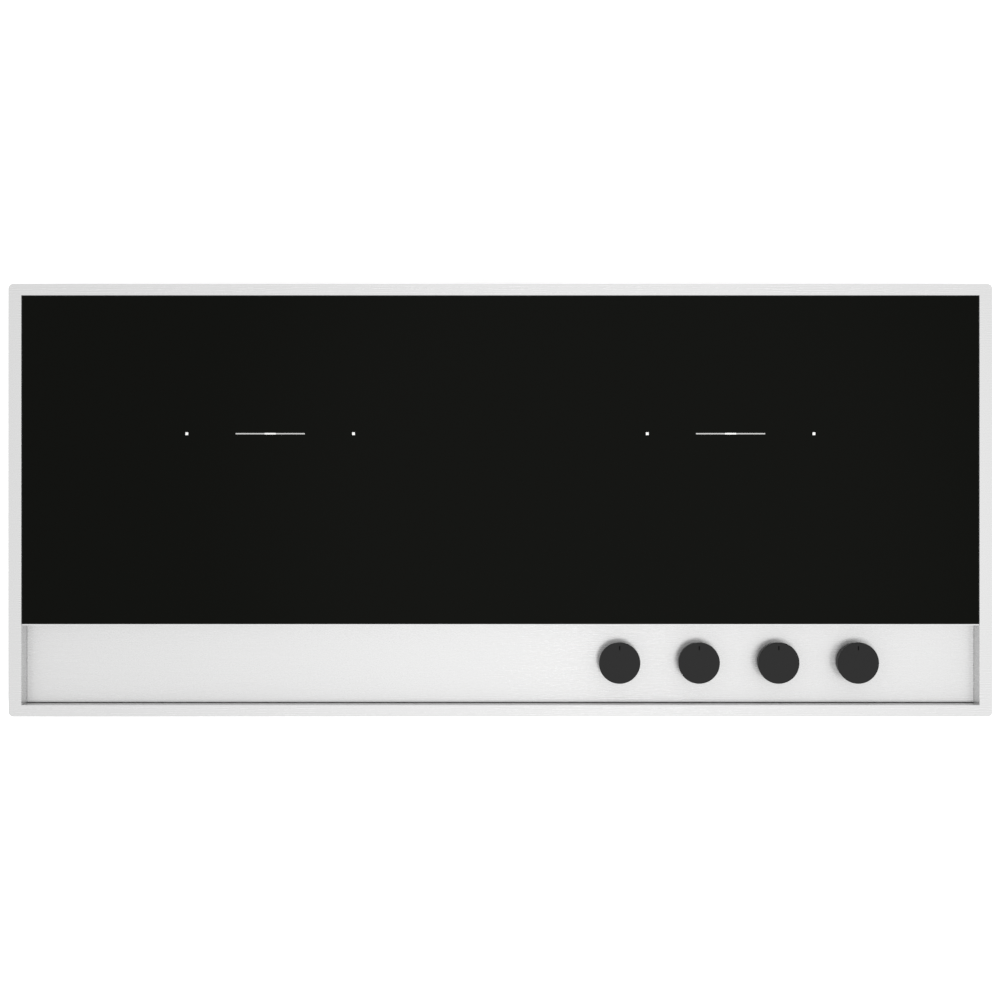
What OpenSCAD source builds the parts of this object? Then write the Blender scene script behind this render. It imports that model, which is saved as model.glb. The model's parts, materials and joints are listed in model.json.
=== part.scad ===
// Built-in induction cooktop. A folded steel frame holds a ceramic glass plate and, in front
// of it, a sunken strip with four knobs. The coils, boards and fans sit in a tray below.
// Millimetres. +X is right, +Y is the rear, +Z is up. The origin is on the tray's underside,
// in the middle of the frame's width and depth.

/* [Frame] */
// Overall width across the frame
frame_w = 1200; // [1000:10:1500]
// Overall depth from front to rear
frame_d = 528; // [520:1:660]
// Depth of the body below the worktop
body_h = 68; // [66:1:100]
// Height of the frame above the worktop
rim_h = 4; // [3:0.5:6]
// Width of the frame's top at each side
rim_side = 15.5; // [14:0.5:20]
// Width of the frame's top at the front and the rear
rim_end = 14; // [13.5:0.5:20]
// Radius of the frame's outer corners
corner_r = 6; // [4:0.5:12]
// Thickness of the frame's top and outer lip
frame_t = 1.5; // [1:0.1:2]
// Thickness of the frame's inner wall
skirt_t = 1.2; // [0.8:0.1:1.5]
// How far the frame's inner wall hangs below the worktop
skirt_drop = 30; // [24:1:34]

/* [Glass] */
// Thickness of the ceramic glass
glass_t = 4; // [3:0.5:6]
// How far the glass lies below the frame's top
glass_drop = 0.8; // [0.4:0.1:2]
// Gap between the glass and the frame at each side
side_gap = 1.1; // [0.5:0.1:3]
// Gap between the glass and the frame at the rear
rear_gap = 0.8; // [0.5:0.1:3]
// Gap between the glass and the strip's rear wall
seam_gap = 0.4; // [0.3:0.1:2]
// Thickness of the silicone bed under the glass
bed_t = 1.5; // [1:0.1:2.5]
// Width of the silicone bed
bed_w = 8; // [5:0.5:11]
// Thickness of the ledge that carries the glass
ledge_t = 1.2; // [1:0.1:2]
// Width of the ledge
ledge_w = 12; // [12:0.5:20]
// Height of the ledge's upright
ledge_h = 14; // [8:0.5:15]

/* [Control strip] */
// Depth of the strip from its rear wall to the frame
strip_d = 97.3; // [80:0.1:120]
// How far the strip's floor lies below the frame's top
recess_depth = 21; // [14:0.5:26]
// Thickness of the strip's sheet
panel_t = 1.5; // [1:0.1:2]
// Slot between the strip's floor and the front of the frame
front_slot = 1; // [0.5:0.1:3]
// Gap between the strip's ends and the frame
end_gap = 0.2; // [0.2:0.1:1]
// Height of the strip's folded front edge
fold_h = 10; // [5:1:14]

/* [Knobs] */
// Distance between neighbouring knobs
knob_pitch = 97; // [75:1:110]
// Distance from the last knob's centre to the inside of the frame
knob_end = 148.1; // [60:0.1:200]
// Distance from the knobs' centres to the inside of the frame's front
knob_front = 51.4; // [45:0.1:60]
// Diameter of a knob at its top
knob_d = 50.5; // [36:0.5:62]
// How much narrower a knob is at its foot
knob_taper = 4.5; // [0:0.5:8]
// Height of a knob's top above the strip's floor
knob_h = 22.5; // [20:0.5:30]
// Gap between a knob's foot and the strip's floor
knob_lift = 2.5; // [2.3:0.1:4]
// How far a knob is pressed down before it turns
push_travel = 2; // [1:0.1:2.2]
// Width of the chamfer round a knob's top
knob_chamfer = 0.8; // [0.4:0.1:2]
// Thickness of a knob's wall
knob_wall = 2.6; // [2:0.1:4]
// Length of the index groove
index_len = 5.1; // [3:0.1:10]
// Width of the index groove
index_w = 1.5; // [0.8:0.1:2.5]
// Depth of the index groove
index_deep = 0.5; // [0.2:0.1:1]
// Distance from a knob's rim to its index groove
index_in = 4.4; // [2:0.1:8]
// Radius of the knob's spindle
spindle_r = 3; // [2.5:0.1:4]
// Distance from the spindle's centre to its flat
spindle_flat = 2.4; // [2:0.1:2.4]
// Radius of the encoder's threaded bush
bush_r = 4.6; // [4.5:0.1:6]
// Height of the bush above the strip's floor
bush_h = 4.5; // [3.8:0.1:5]
// Width of the encoder's housing
encoder_w = 26; // [22:1:34]
// Height of the encoder's housing
encoder_h = 20; // [19:0.5:24]

/* [Coils] */
// Diameter of the two front coils
front_coil_d = 210; // [160:1:214]
// Diameter of the two rear coils
rear_coil_d = 145; // [120:1:148]
// Distance from a zone's centre line to the glass's side
zone_side = 302.5; // [220:1:400]
// Distance from the line between two zones to the glass's rear
zone_rear = 168; // [164:1:200]
// Gap from that line to each coil
zone_gap = 6; // [4.5:0.5:10]
// Height of a coil's winding
winding_h = 4.3; // [3:0.1:5]
// Radius of the hole in the middle of a winding
winding_hole = 22; // [18:1:30]
// Thickness of the mica sheet over each coil
mica_t = 0.7; // [0.4:0.1:1]
// Thickness of a coil carrier
carrier_t = 2; // [1.5:0.1:3]
// How far a carrier reaches past its coil
carrier_rim = 4; // [2:0.5:4]
// Thickness of the ferrite bars
ferrite_t = 4; // [3:0.5:6]
// Distance from the glass's underside to the coil deck
deck_drop = 21.2; // [18:0.1:21.5]
// Thickness of the coil deck
deck_t = 1.5; // [1:0.1:2]
// Width of each coil deck
deck_w = 290; // [280:1:320]

/* [Tray and electronics] */
// Thickness of the tray's sheet
tray_t = 1; // [0.8:0.1:1.5]
// Gap between the tray and the frame's inner wall
tray_gap = 0.2; // [0.1:0.1:0.5]
// Distance from the tray's upper edge to the worktop
tray_drop = 8; // [6:1:12]
// Length of a power board
board_l = 270; // [266:1:280]
// Depth of a power board
board_d = 220; // [210:1:230]
// Height of the bosses under the boards
boss_h = 8; // [5:0.5:9]
// Width of a fan
fan_size = 80; // [70:1:90]
// Thickness of a fan
fan_t = 25; // [20:1:26]
// Length of a heat sink
sink_l = 150; // [120:5:180]
// Width of a heat sink
sink_w = 60; // [50:1:64]
// Height of a heat sink
sink_h = 27; // [20:1:28]
// Width of the notch where the supply cable leaves
notch_w = 130; // [120:1:160]
// Depth of the notch
notch_d = 60; // [50:1:70]
// Height of the notch
notch_h = 26; // [26:0.5:27]
// Radius of the cable gland's passage
cable_r = 6.5; // [4:0.1:7]

/* [Hidden] */
$fn = 64;

left = -1;
right = 1;
front = "front";
rear = "rear";
sides = [left, right];
places = [front, rear];
knobs = [0 : 3];
past = 1;                 // how far a cut runs past the face it opens
running_gap = 0.05;       // between a turning or sliding piece and its hole
hole_gap = 0.1;           // between a screw and its hole
seat_gap = 0.2;           // between pieces that rest on each other but move

// Heights
seat_z = body_h;
frame_z = seat_z + rim_h;
skirt_z = seat_z - skirt_drop;
glass_z = frame_z - glass_drop;
glass_under = glass_z - glass_t;
ledge_z = glass_under - bed_t;
floor_z = frame_z - recess_depth;
floor_under = floor_z - panel_t;
tray_z = seat_z - tray_drop;
winding_z = glass_under - mica_t - winding_h;
carrier_z = winding_z - carrier_t;
ferrite_z = carrier_z - ferrite_t;
deck_z = glass_under - deck_drop;
board_z = tray_t + boss_h;
board_t = 1.6;
board_top = board_z + board_t;
encoder_z = floor_under - encoder_h;

// Widths and depths
interior_w = frame_w - 2 * rim_side;
interior_d = frame_d - 2 * rim_end;
skirt_w = interior_w + 2 * skirt_t;
skirt_d = interior_d + 2 * skirt_t;
tray_in_w = skirt_w + 2 * tray_gap;
tray_in_d = skirt_d + 2 * tray_gap;
tray_w = tray_in_w + 2 * tray_t;
tray_d = tray_in_d + 2 * tray_t;
field_rear = interior_d / 2;
field_front = strip_d + panel_t - interior_d / 2;
glass_w = interior_w - 2 * side_gap;
glass_front = field_front + seam_gap;
glass_rear = field_rear - rear_gap;
panel_w = interior_w - 2 * end_gap;
panel_front = front_slot - interior_d / 2;
knob_y = knob_front - interior_d / 2;
zone_x = glass_w / 2 - zone_side;
zone_y = glass_rear - zone_rear;
board_y = zone_y - 16;
fan_room = 8;             // between a fan and its power board
fan_x = zone_x + board_l / 2 + fan_room + fan_size / 2;
notch_y = tray_d / 2 - notch_d;

// Screws and bosses
screw_r = 2;
head_r = 3.8;
head_h = 1.8;
screw_z = skirt_z + head_r + 0.6; // near the inner wall's lower edge
screw_len = 3.2;
boss_r = 4;
pilot_r = 1.5;
filter_w = 88;
filter_d = 110;
filter_y = notch_y - 12 - filter_d / 2;

function knob_x(i) = interior_w / 2 - knob_end - (3 - i) * knob_pitch;
function coil_r(place) = (place == front ? front_coil_d : rear_coil_d) / 2;
function coil_y(place) = place == front
    ? zone_y - zone_gap - coil_r(front)
    : zone_y + zone_gap + coil_r(rear);

// A box from its lowest corner to its highest
module block(low, high) translate(low) cube(high - low);

// A flat plate centred on the origin, with corners of radius r
module slab(w, d, low, high, r = 0)
    translate([0, 0, low])
    linear_extrude(high - low)
    if (r == 0) square([w, d], center = true);
    else union() {
        square([w - 2 * r, d], center = true);
        square([w, d - 2 * r], center = true);
        for (x = sides, y = sides)
            translate([x * (w / 2 - r), y * (d / 2 - r)]) circle(r);
    }

// A round bar or, with a hole, a washer
module disc(r, low, high, hole = 0)
    translate([0, 0, low])
    difference() {
        cylinder(h = high - low, r = r);
        if (hole > 0) translate([0, 0, -past]) cylinder(h = high - low + 2 * past, r = hole);
    }

// A round bar with a flat along one side
module flat_bar(r, flat, low, high)
    intersection() {
        disc(r, low, high);
        block([-2 * r, -2 * r, low - past], [2 * r, flat, high + past]);
    }

// Pieces drawn for the right-hand side, put on either side
module on_side(side) mirror([side == left ? 1 : 0, 0, 0]) children();

// Pieces drawn round the origin, put at a coil's centre
module at_coil(side, place)
    on_side(side) translate([zone_x, coil_y(place), 0]) children();

// Pieces drawn round the origin, put at a knob's centre
module at_knob(i) translate([knob_x(i), knob_y, 0]) children();

// The screws through the tray's walls, drawn pointing along -Y from the wall's outer face
module at_wall_screws() {
    for (x = [-0.42, 0, 0.42], turn = [0, 180])
        rotate(turn) translate([x * tray_w, tray_d / 2, screw_z]) children();
    for (y = [-0.24, 0.24], turn = [90, 270])
        rotate(turn) translate([y * tray_d, tray_w / 2, screw_z]) children();
}

// The bosses under the boards, at each board's four corners
boss_in = 8;
module at_bosses() {
    for (side = sides, x = sides, y = sides)
        translate([side * zone_x + x * (board_l / 2 - boss_in), board_y + y * (board_d / 2 - boss_in), 0])
            children();
    for (x = sides, y = sides)
        translate([x * (filter_w / 2 - boss_in), filter_y + y * (filter_d / 2 - boss_in), 0]) children();
}

module trim_frame() color("lightsteelblue") difference() {
    union() {
        slab(frame_w, frame_d, frame_z - frame_t, frame_z, corner_r);
        difference() {
            slab(frame_w, frame_d, seat_z, frame_z - frame_t, corner_r);
            slab(frame_w - 2 * frame_t, frame_d - 2 * frame_t, seat_z - past, frame_z, corner_r - frame_t);
        }
        slab(skirt_w, skirt_d, skirt_z, frame_z - frame_t);
    }
    slab(interior_w, interior_d, skirt_z - past, frame_z + past);
    at_wall_screws() rotate([90, 0, 0]) disc(screw_r + hole_gap, -past, screw_len);
}

module glass_top() color("#171714")
    block([-glass_w / 2, glass_front, glass_under], [glass_w / 2, glass_rear, glass_z]);

// The silicone fills the bed under the glass and the gap round its edge
bead_drop = 0.4;
module glass_seal() color("#202020") difference() {
    block([-interior_w / 2, field_front, ledge_z], [interior_w / 2, field_rear, glass_z - bead_drop]);
    block([-glass_w / 2, glass_front, glass_under], [glass_w / 2, glass_rear, glass_z + past]);
    block([bed_w - glass_w / 2, glass_front + bed_w, ledge_z - past],
          [glass_w / 2 - bed_w, glass_rear - bed_w, glass_z]);
}

module glass_ledge() color("silver") difference() {
    block([-interior_w / 2, field_front, ledge_z - ledge_h], [interior_w / 2, field_rear, ledge_z]);
    block([ledge_t - interior_w / 2, field_front + ledge_t, ledge_z - ledge_h - past],
          [interior_w / 2 - ledge_t, field_rear - ledge_t, ledge_z - ledge_t]);
    block([ledge_w - interior_w / 2, field_front + ledge_w, ledge_z - ledge_h - past],
          [interior_w / 2 - ledge_w, field_rear - ledge_w, ledge_z + past]);
}

module control_panel() color("gainsboro") difference() {
    union() {
        block([-panel_w / 2, panel_front, floor_under], [panel_w / 2, field_front, floor_z]);
        block([-panel_w / 2, field_front - panel_t, floor_under], [panel_w / 2, field_front, glass_z]);
        block([-panel_w / 2, panel_front, floor_under - fold_h],
              [panel_w / 2, panel_front + panel_t, floor_z]);
    }
    for (i = knobs) at_knob(i) disc(bush_r + hole_gap, floor_under - past, floor_z + past);
}

// Foam tape inside the frame's lip
tape_w = 7.5;
tape_out = 0.5;
module worktop_seal() color("dimgray") {
    w = frame_w - 2 * (frame_t + tape_out);
    d = frame_d - 2 * (frame_t + tape_out);
    difference() {
        slab(w, d, seat_z, frame_z - frame_t, corner_r - frame_t - tape_out);
        slab(w - 2 * tape_w, d - 2 * tape_w, seat_z - past, frame_z);
    }
}

// Straight slots that fill a round field, as a fan's air inlet
slot_w = 4;
slot_pitch = 8;
module inlet_slots(r)
    for (y = [-4 * slot_pitch : slot_pitch : 4 * slot_pitch]) {
        half = sqrt(r * r - y * y);
        block([-half, y - slot_w / 2, -past], [half, y + slot_w / 2, tray_t + past]);
    }

outlet_slots = 12;
outlet_pitch = 14;
outlet_len = 22;
cover_w = 104;
cover_d = 46;
cover_t = 1.5;
window_w = 84;
window_d = 30;
gland_y = notch_y;
gland_z = notch_h / 2;
gland_r = 10;
window_y = notch_y + notch_d / 2;
module bottom_tray() color("lightgray") difference() {
    union() {
        difference() {
            slab(tray_w, tray_d, 0, tray_z);
            slab(tray_in_w, tray_in_d, tray_t, tray_z + past);
        }
        block([-notch_w / 2 - tray_t, notch_y - tray_t, 0],
              [notch_w / 2 + tray_t, tray_d / 2, notch_h + tray_t]);
        at_bosses() disc(boss_r, 0, board_z);
    }
    block([-notch_w / 2, notch_y, -past], [notch_w / 2, tray_d / 2 + past, notch_h]);
    block([-window_w / 2, window_y - window_d / 2, notch_h - past],
          [window_w / 2, window_y + window_d / 2, notch_h + tray_t + past]);
    translate([0, gland_y, gland_z]) rotate([90, 0, 0]) disc(gland_r + hole_gap, -past, tray_t + past);
    at_bosses() disc(pilot_r + hole_gap, tray_t, board_z + past);
    at_wall_screws() rotate([90, 0, 0]) disc(screw_r + hole_gap, -past, screw_len);
    for (side = sides) on_side(side) {
        translate([fan_x, board_y, 0]) inlet_slots(fan_size / 2 - 3);
        // Air outlets through the rear wall behind each heat sink
        for (k = [0 : outlet_slots - 1])
            translate([zone_x + (k - (outlet_slots - 1) / 2) * outlet_pitch, 0, 0])
                block([-slot_w / 2, tray_in_d / 2 - past, tray_t + 6],
                      [slot_w / 2, tray_d / 2 + past, tray_t + 6 + outlet_len]);
        // Air outlets through the floor in front of the boards
        for (k = [0 : outlet_slots - 1])
            translate([zone_x + (k - (outlet_slots - 1) / 2) * outlet_pitch, 0, 0])
                block([-slot_w / 2, 30 - tray_in_d / 2, -past],
                      [slot_w / 2, 30 + outlet_len * 2 - tray_in_d / 2, tray_t + past]);
    }
}

// Each deck hangs from the ledge's front and rear rails by its turned-up ends
deck_lip = 7;
deck_in = 2.2;
lead_out = 10;
lead_gap = 6;
lead_r = 2;
function lead_x(place) = coil_r(place) + carrier_rim + lead_out;
module coil_decks() color("silver") for (side = sides) on_side(side) difference() {
    lip_z = ledge_z - ledge_t;
    low_y = field_front + deck_in + deck_lip;
    high_y = field_rear - deck_in - deck_lip;
    left_x = zone_x - deck_w / 2;
    right_x = zone_x + deck_w / 2;
    union() {
        block([left_x, low_y, deck_z - deck_t], [right_x, high_y, deck_z]);
        for (y = [low_y, high_y - deck_t])
            block([left_x, y, deck_z - deck_t], [right_x, y + deck_t, lip_z]);
        block([left_x, low_y - deck_lip, lip_z - deck_t], [right_x, low_y, lip_z]);
        block([left_x, high_y, lip_z - deck_t], [right_x, high_y + deck_lip, lip_z]);
    }
    for (place = places)
        translate([zone_x + lead_x(place), coil_y(place), 0])
            block([-5, -12, deck_z - deck_t - past], [5, 12, deck_z + past]);
}

hub_r = 14;
carrier_wall = 1.5;
module coil_carrier(side, place) color("ivory") at_coil(side, place) {
    r = coil_r(place) + carrier_rim;
    rim_z = winding_z + winding_h - 1.5;
    difference() {
        union() {
            disc(r, carrier_z, winding_z, hub_r);
            disc(r, carrier_z, rim_z, r - carrier_wall);
            disc(hub_r + carrier_wall, carrier_z, rim_z, hub_r);
        }
        block([r - 8, -12, winding_z], [r + past, 12, rim_z + past]);
    }
}

module coil_winding(side, place) color("peru") at_coil(side, place)
    disc(coil_r(place), winding_z, winding_z + winding_h, winding_hole);

bars_per_coil = 8;
bar_w = 10;
module ferrite_bars() color("#303030")
    for (side = sides, place = places, k = [0 : bars_per_coil - 1])
        at_coil(side, place) rotate(k * 360 / bars_per_coil)
            block([winding_hole + 4, -bar_w / 2, ferrite_z], [coil_r(place) - 6, bar_w / 2, carrier_z]);

module mica_sheets() color("wheat") for (side = sides, place = places)
    at_coil(side, place) disc(coil_r(place) + 2, glass_under - mica_t, glass_under, 10);

// Small compression springs between each deck and its carriers
spring_r = 4;
springs_per_coil = 4;
module coil_springs() color("gray") for (side = sides, place = places, k = [0 : springs_per_coil - 1])
    at_coil(side, place) rotate((k + 0.25) * 360 / springs_per_coil)
        translate([coil_r(place) * 0.8, 0, 0]) disc(spring_r, deck_z, carrier_z, spring_r - 1);

sensor_r = 6;
stalk_r = 3;
module temperature_sensors() color("white") for (side = sides, place = places)
    at_coil(side, place) {
        disc(stalk_r, deck_z, winding_z);
        disc(sensor_r, winding_z, glass_under);
    }

module power_board(side) color("seagreen") on_side(side)
    translate([zone_x, board_y, 0]) difference() {
        slab(board_l, board_d, board_z, board_top);
        for (x = sides, y = sides)
            translate([x * (board_l / 2 - boss_in), y * (board_d / 2 - boss_in), 0])
                disc(pilot_r + hole_gap, board_z - past, board_top + past);
    }

fin_t = 1.8;
fins = 11;
sink_base = 5;
module heatsink(side) color("silver") on_side(side) translate([zone_x, board_y, 0]) {
    block([-sink_l / 2, -sink_w / 2, board_top], [sink_l / 2, sink_w / 2, board_top + sink_base]);
    for (k = [0 : fins - 1])
        translate([0, (k - (fins - 1) / 2) * (sink_w - fin_t) / (fins - 1), 0])
            block([-sink_l / 2, -fin_t / 2, board_top], [sink_l / 2, fin_t / 2, board_top + sink_h]);
}

module power_transistors() color("#222222")
    for (side = sides, x = [-45, -15, 15, 45], y = sides) on_side(side)
        translate([zone_x + x, board_y + y * (sink_w / 2 + 2.5), board_top])
            block([-8, -2.5, 0], [8, 2.5, 20]);

part_row = 70;            // from a board's middle to each row of tall parts
module capacitors() color("royalblue") for (side = sides, y = sides) on_side(side)
    translate([zone_x, board_y + y * part_row, board_top]) {
        for (x = [-100, -60]) translate([x, 0, 0]) block([-16, -9, 0], [16, 9, 26]);
        for (x = [-25, 0, 25]) translate([x, 0, 0]) disc(9, 0, 24);
    }

choke_r = 15;
module choke_core() rotate_extrude() translate([choke_r / 2, 0]) square([choke_r / 2, 10]);
module chokes() color("goldenrod") {
    for (side = sides, y = sides) on_side(side)
        translate([zone_x + 70, board_y + y * part_row, board_top]) choke_core();
    for (x = sides) translate([x * 18, filter_y, board_top]) choke_core();
}

module filter_board() color("seagreen") translate([0, filter_y, 0]) difference() {
    slab(filter_w, filter_d, board_z, board_top);
    for (x = sides, y = sides)
        translate([x * (filter_w / 2 - boss_in), y * (filter_d / 2 - boss_in), 0])
            disc(pilot_r + hole_gap, board_z - past, board_top + past);
}

// The terminal block bridges a window in the notch's roof, which the cover closes from below
terminal_w = 96;
terminal_d = 26;
terminal_h = 15;
poles = 5;
pole_pitch = 16;
module terminal_block() color("whitesmoke") translate([0, window_y, notch_h + tray_t]) difference() {
    block([-terminal_w / 2, -terminal_d / 2, 0], [terminal_w / 2, terminal_d / 2, terminal_h]);
    for (k = [0 : poles - 1]) translate([(k - (poles - 1) / 2) * pole_pitch, 0, 0])
        block([-4, -9, -past], [4, 9, terminal_h - 4]);
}

module terminal_cover() color("#303030") translate([0, window_y, 0]) {
    block([-cover_w / 2, -cover_d / 2, notch_h - cover_t], [cover_w / 2, cover_d / 2, notch_h]);
    block([seat_gap - window_w / 2, seat_gap - window_d / 2, notch_h - cover_t],
          [window_w / 2 - seat_gap, window_d / 2 - seat_gap, notch_h + tray_t - seat_gap]);
}

// Cable gland: a hexagon and a domed nut outside the notch's wall, a lock nut inside
gland_hex = 12.2;
gland_out = 20;
gland_in = 9;
module cable_gland() color("#2b2b2b") translate([0, gland_y, gland_z]) rotate([-90, 0, 0]) difference() {
    union() {
        disc(gland_r, -gland_in, gland_out);
        cylinder(h = 6, r = gland_hex, $fn = 6);
        translate([0, 0, 7]) cylinder(h = 8, r = gland_hex, $fn = 6);
        translate([0, 0, -tray_t - 5]) cylinder(h = 5, r = gland_hex, $fn = 6);
    }
    disc(cable_r, -gland_in - past, gland_out + past);
}

fan_wall = 1.5;
fan_hub_r = 17;
fan_base = 3;
pin_r = 2;
module fan_housing(side) color("#262626") on_side(side) translate([fan_x, board_y, tray_t]) {
    difference() {
        slab(fan_size, fan_size, 0, fan_t, 4);
        disc(fan_size / 2 - fan_wall, -past, fan_t + past);
        for (x = sides, y = sides)
            translate([x, y] * (fan_size / 2 - 5)) disc(2.2, -past, fan_t + past);
    }
    disc(fan_hub_r, 0, fan_base);
    disc(pin_r, 0, fan_t - 6);
    for (turn = [45 : 90 : 315]) rotate(turn)
        block([fan_hub_r - 2, -2, 0], [fan_size / 2 - fan_wall / 2, 2, fan_base]);
}

blades = 7;
blade_gap = 1;
module fan_impeller(side) color("#3a3a3a") on_side(side) translate([fan_x, board_y, tray_t]) {
    low = fan_base + 0.3;
    high = fan_t - 2;
    r = fan_size / 2 - fan_wall - blade_gap;
    difference() {
        union() {
            disc(fan_hub_r, low, high);
            intersection() {
                disc(r, low, high);
                for (k = [0 : blades - 1]) rotate(k * 360 / blades)
                    translate([0, 0, (low + high) / 2]) rotate([38, 0, 0])
                        block([fan_hub_r - 3, -0.9, -12], [r + 3, 0.9, 12]);
            }
        }
        disc(pin_r + running_gap, low - past, fan_t - 5);
    }
}

duct_wall = 1.5;
duct_h = 15;
module air_ducts() color("#3c3c40") for (side = sides) on_side(side) {
    low = tray_t + fan_t;
    high = low + duct_h;
    near = zone_x - sink_l / 2;
    far = fan_x + fan_size / 2;
    half = fan_size / 2;
    difference() {
        block([near, board_y - half, low], [far, board_y + half, high]);
        block([near - past, board_y - half + duct_wall, low - past],
              [far - duct_wall, board_y + half - duct_wall, high - duct_wall]);
    }
}

module control_board() color("seagreen")
    block([knob_x(0) - 30, knob_y - 24, encoder_z - board_t],
          [knob_x(3) + 30, knob_y + 24, encoder_z]);

// Inside an encoder, the rotor turns in an upper pocket and the spring stands in a lower one
rotor_r = 7.4;
rotor_h = 7.4;
pocket_floor = 1.5;
pocket_roof = 2;
step_z = floor_under - pocket_roof - rotor_h - 2 * seat_gap;
spring_z = encoder_z + pocket_floor;
collar_r = 5.5;
collar_h = 2;
collar_z = step_z - seat_gap - collar_h;
return_r = 4;
module encoders() color("#4a4a4a") for (i = knobs) at_knob(i) difference() {
    union() {
        slab(encoder_w, encoder_w, encoder_z, floor_under);
        disc(bush_r, encoder_z, floor_z + bush_h);
    }
    disc(spindle_r + running_gap, spring_z, floor_z + bush_h + past);
    disc(rotor_r + running_gap, step_z, floor_under - pocket_roof);
    disc(collar_r + seat_gap, spring_z, step_z + seat_gap);
}

seal_t = 1;
nut_h = 2.4;
nut_r = 7;
module bush_seals() color("#1c1c1c") for (i = knobs)
    at_knob(i) disc(nut_r + 2, floor_z, floor_z + seal_t, bush_r + hole_gap);

module encoder_nuts() color("silver") for (i = knobs) at_knob(i) difference() {
    translate([0, 0, floor_z + seal_t]) cylinder(h = nut_h, r = nut_r, $fn = 6);
    disc(bush_r + hole_gap, floor_z, floor_z + bush_h + past);
}

// A knob is a shell with a hub that takes the spindle
knob_top = floor_z + knob_h;
knob_foot = floor_z + knob_lift;
knob_roof = 3.5;
hub_foot = floor_z + bush_h + push_travel + 0.6;
knob_hub_r = 6.5;
spindle_top = knob_top - knob_roof;
module knob(i) color("#333333") at_knob(i) difference() {
    rotate_extrude() polygon([
        [0, hub_foot],
        [knob_hub_r, hub_foot],
        [knob_hub_r, knob_top - knob_roof],
        [knob_d / 2 - knob_wall, knob_top - knob_roof],
        [(knob_d - knob_taper) / 2 - knob_wall, knob_foot],
        [(knob_d - knob_taper) / 2, knob_foot],
        [knob_d / 2, knob_top - knob_chamfer],
        [knob_d / 2 - knob_chamfer, knob_top],
        [0, knob_top]
    ]);
    flat_bar(spindle_r + running_gap, spindle_flat + running_gap, hub_foot - past, spindle_top + running_gap);
    index_y = knob_d / 2 - index_in;
    block([-index_w / 2, index_y - index_len, knob_top - index_deep],
        [index_w / 2, index_y, knob_top + past]);
}

module spindle(i) color("silver") at_knob(i) {
    flat_bar(spindle_r, spindle_flat, collar_z, spindle_top);
    disc(collar_r, collar_z, collar_z + collar_h);
}

module rotor(i) color("white") at_knob(i) difference() {
    disc(rotor_r, step_z + seat_gap, step_z + seat_gap + rotor_h);
    flat_bar(spindle_r + running_gap, spindle_flat + running_gap, step_z - past, floor_under);
}

module return_spring(i) color("gray") at_knob(i)
    disc(return_r, spring_z, collar_z - running_gap, return_r - 1);

// Leaf springs on the tray's walls that grip the sides of the cut-out
clip_w = 25;
clip_t = 0.8;
clip_out = 4;
clip_h = 24;
module clip_leaf() rotate([90, 0, 90]) translate([0, 0, -clip_w / 2]) linear_extrude(clip_w) polygon([
    [0, 0],
    [clip_t, 0],
    [clip_t, clip_h * 0.3],
    [clip_out + clip_t, clip_h * 0.6],
    [clip_t * 1.6, clip_h],
    [clip_t * 0.6, clip_h],
    [clip_out, clip_h * 0.6],
    [0, clip_h * 0.35]
]);
clip_z = tray_z - clip_h - 4;
module at_clips() {
    for (x = [-0.25, 0.25], turn = [0, 180])
        rotate(turn) translate([x * tray_w, tray_d / 2, clip_z]) children();
    for (y = [-0.15, 0.15], turn = [90, 270])
        rotate(turn) translate([y * tray_d, tray_w / 2, clip_z]) children();
}
module mounting_clips() color("silver") at_clips() clip_leaf();

module case_screws() color("gray") {
    at_wall_screws() rotate([90, 0, 0]) {
        disc(head_r, -head_h, 0);
        disc(screw_r, 0, screw_len);
    }
    at_bosses() {
        disc(head_r - 0.6, board_top, board_top + head_h);
        disc(pilot_r, board_z - 5, board_top);
    }
}

// Two litz leads from each coil to its board, and flat cables from the control board
ribbon_w = 24;
ribbon_t = 1;
module lead(place) {
    x = lead_x(place);
    z = winding_z + winding_h / 2;
    translate([coil_r(place) + seat_gap, 0, z]) rotate([0, 90, 0])
        cylinder(h = x - coil_r(place) - seat_gap, r = lead_r);
    translate([x, 0, z]) sphere(lead_r);
    disc_at(x, board_top, z);
}
module disc_at(x, low, high) translate([x, 0, 0]) disc(lead_r, low, high);

module internal_leads() color("firebrick") {
    for (side = sides, place = places, y = sides)
        at_coil(side, place) translate([0, y * lead_gap, 0]) lead(place);
    ribbon_z = encoder_z - board_t;
    board_front = board_y - board_d / 2;
    // The right board's cable runs straight back and down
    block([zone_x - ribbon_w / 2, knob_y + 24, ribbon_z],
          [zone_x + ribbon_w / 2, board_front + 10, ribbon_z + ribbon_t]);
    block([zone_x - ribbon_w / 2, board_front + 10 - ribbon_t, board_top],
          [zone_x + ribbon_w / 2, board_front + 10, ribbon_z + ribbon_t]);
    // The left board's cable leaves the control board's end
    block([-zone_x - ribbon_w / 2, knob_y - ribbon_w / 2, ribbon_z],
          [knob_x(0) - 30, knob_y + ribbon_w / 2, ribbon_z + ribbon_t]);
    block([-zone_x - ribbon_w / 2, knob_y - ribbon_w / 2, ribbon_z],
          [-zone_x + ribbon_w / 2, board_front + 10, ribbon_z + ribbon_t]);
    block([-zone_x - ribbon_w / 2, board_front + 10 - ribbon_t, board_top],
          [-zone_x + ribbon_w / 2, board_front + 10, ribbon_z + ribbon_t]);
}

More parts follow.
